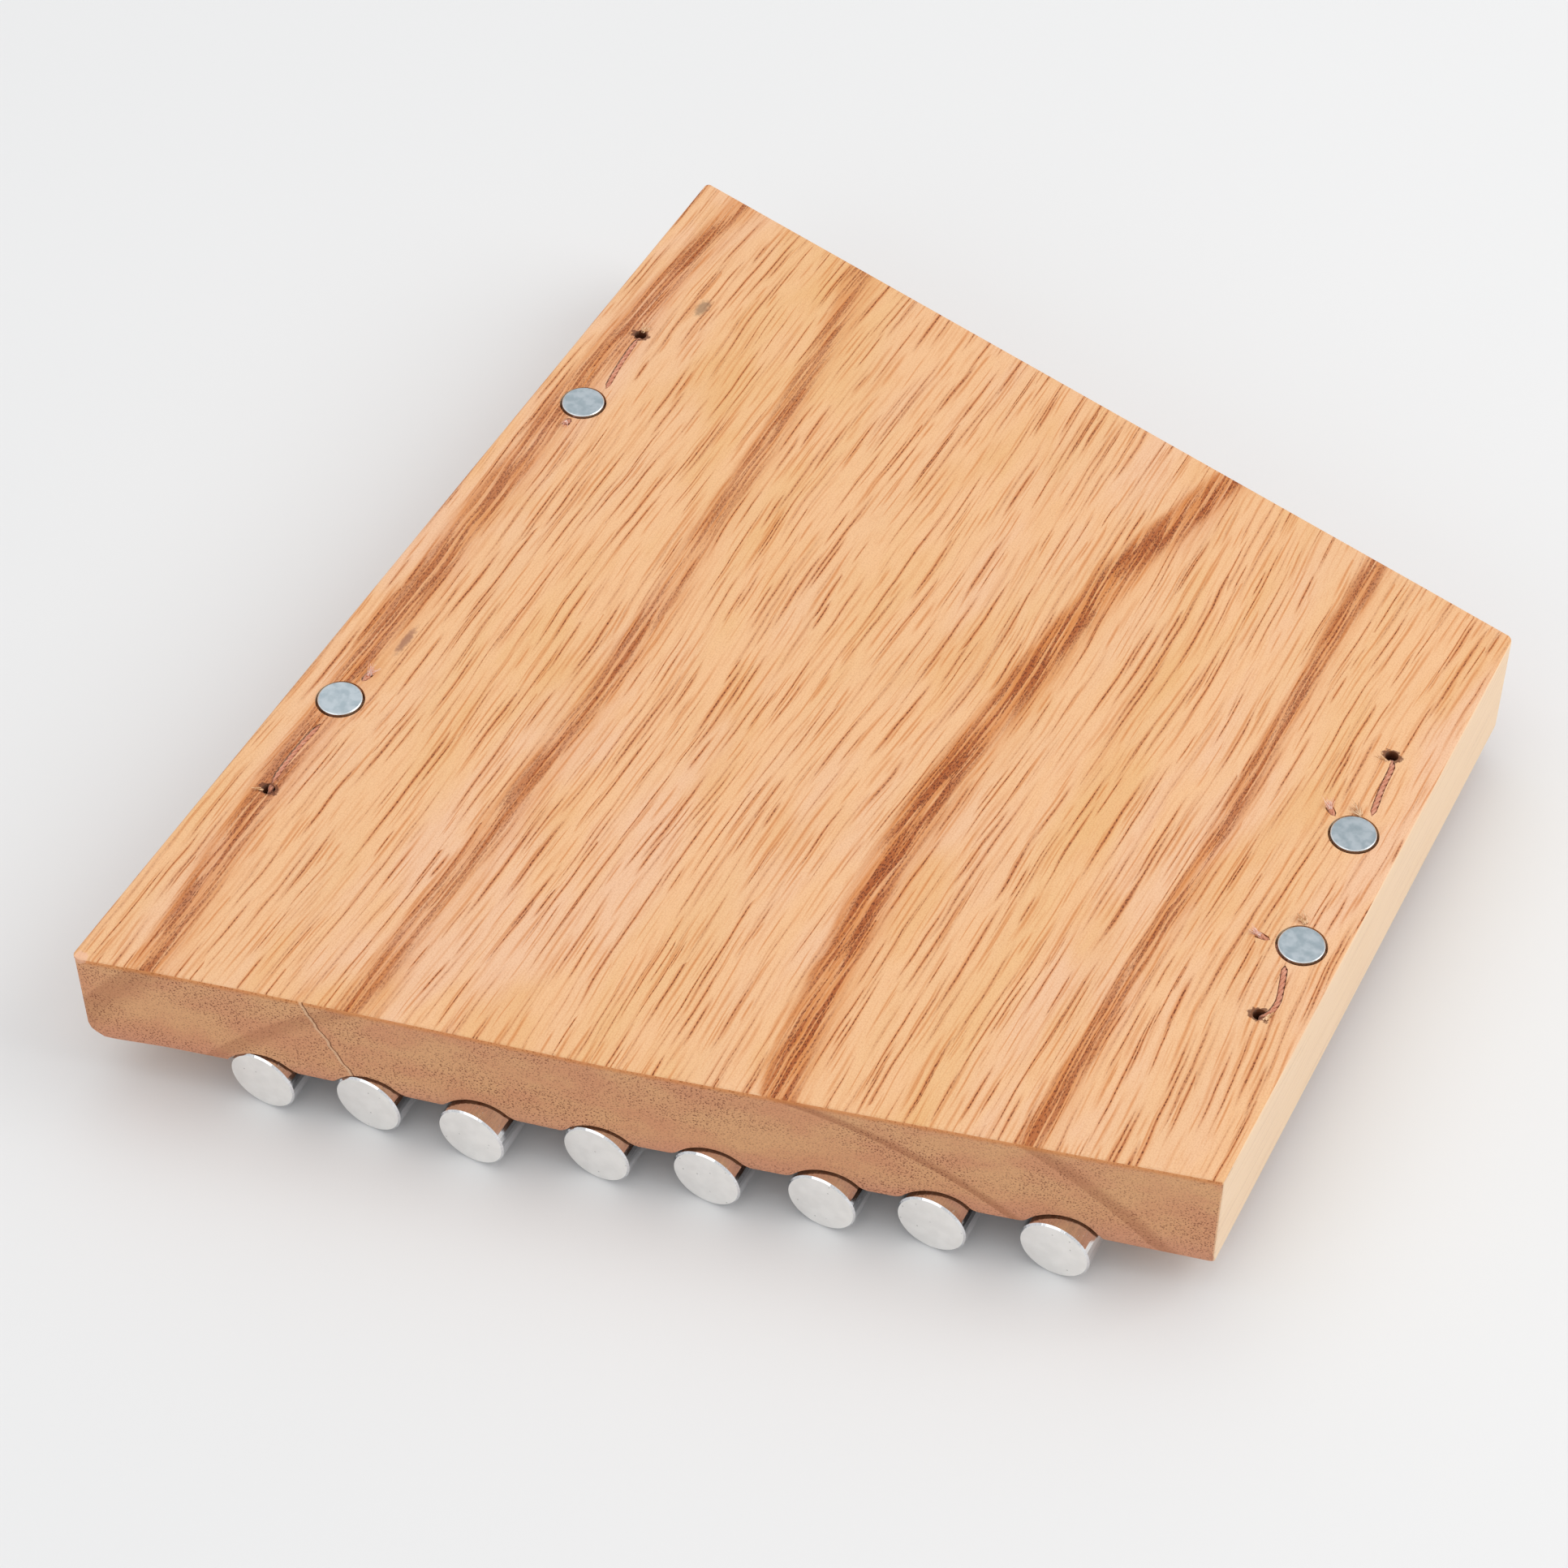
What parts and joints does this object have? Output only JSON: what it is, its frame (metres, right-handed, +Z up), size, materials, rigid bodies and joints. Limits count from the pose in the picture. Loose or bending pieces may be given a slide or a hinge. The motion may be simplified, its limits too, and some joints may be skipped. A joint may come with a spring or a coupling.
{
  "type": "rod chime block",
  "caption": "Wedge-shaped hardwood block carrying parallel aluminium chime rods threaded on two cords that are clamped by flat-headed nails on its back.",
  "frame": {"origin": "centre of the bounding box at its bottom, on the surface the rods stand on", "axes": "+Z up, out of the board's flat back; +Y along the rods, away from the pictured end; +X across the rods, from the low-note side to the high-note side"},
  "size_m": [0.15, 0.1782, 0.0242],
  "materials": {
    "wood": "sanded, open-pored, thin satin oil",
    "aluminium": "drawn rod, sides polished, ends turned matt",
    "cord": "twisted cord, frayed at the ends",
    "zinc": "zinc plated, slightly glossy"
  },
  "bodies": {
    "block": {"board": "wood", "cord_near": "cord", "cord_far": "cord", "nail_low_near": "zinc", "nail_low_far": "zinc", "nail_high_near": "zinc", "nail_high_far": "zinc"},
    "rod_1": {"rod_1": "aluminium"},
    "rod_2": {"rod_2": "aluminium"},
    "rod_3": {"rod_3": "aluminium"},
    "rod_4": {"rod_4": "aluminium"},
    "rod_5": {"rod_5": "aluminium"},
    "rod_6": {"rod_6": "aluminium"},
    "rod_7": {"rod_7": "aluminium"},
    "rod_8": {"rod_8": "aluminium"}
  },
  "joints": [
    {"name": "rod_1_bounce", "type": "slide", "parent": "block", "child": "rod_1", "axis": [0, 0, 1], "range_m": [-0.0005, 0], "stiffness_N_per_m": 1500},
    {"name": "rod_2_bounce", "type": "slide", "parent": "block", "child": "rod_2", "axis": [0, 0, 1], "range_m": [-0.0005, 0], "stiffness_N_per_m": 1500},
    {"name": "rod_3_bounce", "type": "slide", "parent": "block", "child": "rod_3", "axis": [0, 0, 1], "range_m": [-0.0005, 0], "stiffness_N_per_m": 1500},
    {"name": "rod_4_bounce", "type": "slide", "parent": "block", "child": "rod_4", "axis": [0, 0, 1], "range_m": [-0.0005, 0], "stiffness_N_per_m": 1500},
    {"name": "rod_5_bounce", "type": "slide", "parent": "block", "child": "rod_5", "axis": [0, 0, 1], "range_m": [-0.0005, 0], "stiffness_N_per_m": 1500},
    {"name": "rod_6_bounce", "type": "slide", "parent": "block", "child": "rod_6", "axis": [0, 0, 1], "range_m": [-0.0005, 0], "stiffness_N_per_m": 1500},
    {"name": "rod_7_bounce", "type": "slide", "parent": "block", "child": "rod_7", "axis": [0, 0, 1], "range_m": [-0.0005, 0], "stiffness_N_per_m": 1500},
    {"name": "rod_8_bounce", "type": "slide", "parent": "block", "child": "rod_8", "axis": [0, 0, 1], "range_m": [-0.0005, 0], "stiffness_N_per_m": 1500}
  ]
}
